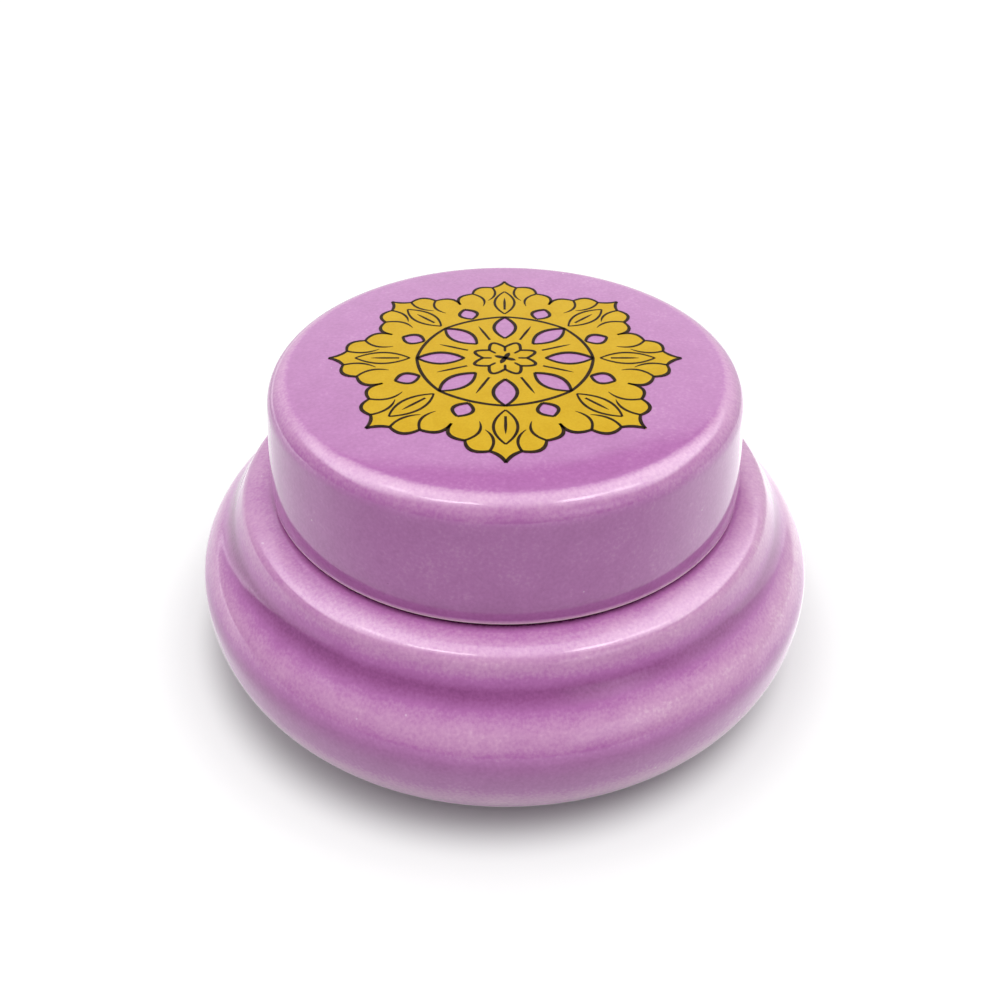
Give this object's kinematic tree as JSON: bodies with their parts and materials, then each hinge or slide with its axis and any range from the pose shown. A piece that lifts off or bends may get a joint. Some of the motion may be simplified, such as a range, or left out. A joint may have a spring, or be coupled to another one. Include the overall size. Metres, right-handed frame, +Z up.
{
  "type": "lidded ink pot",
  "caption": "Squat round glazed ceramic ink pot with a waisted shoulder and a lift-off cap lid that carries a flat gold rosette; keeps ink for pen calligraphy.",
  "frame": {"origin": "centre of the foot ring, on the surface that the pot stands on", "axes": "+Z up along the axis of the pot and the lid"},
  "size_m": [0.08, 0.08, 0.038],
  "materials": {
    "pot_glaze": "glossy mottled purple glaze, darker where it pools in the waist",
    "lid_glaze": "glossy mottled purple glaze, paler on the rounded edge",
    "gold_transfer": "satin gold-coloured transfer with dark outlines, fired on the glaze"
  },
  "bodies": {
    "pot": {"pot": "pot_glaze"},
    "lid": {"lid": "lid_glaze", "lid_rosette": "gold_transfer"}
  },
  "joints": [
    {"name": "lid_lift", "type": "slide", "parent": "pot", "child": "lid", "axis": [0, 0, 1], "range_m": [0, 0.06]}
  ]
}
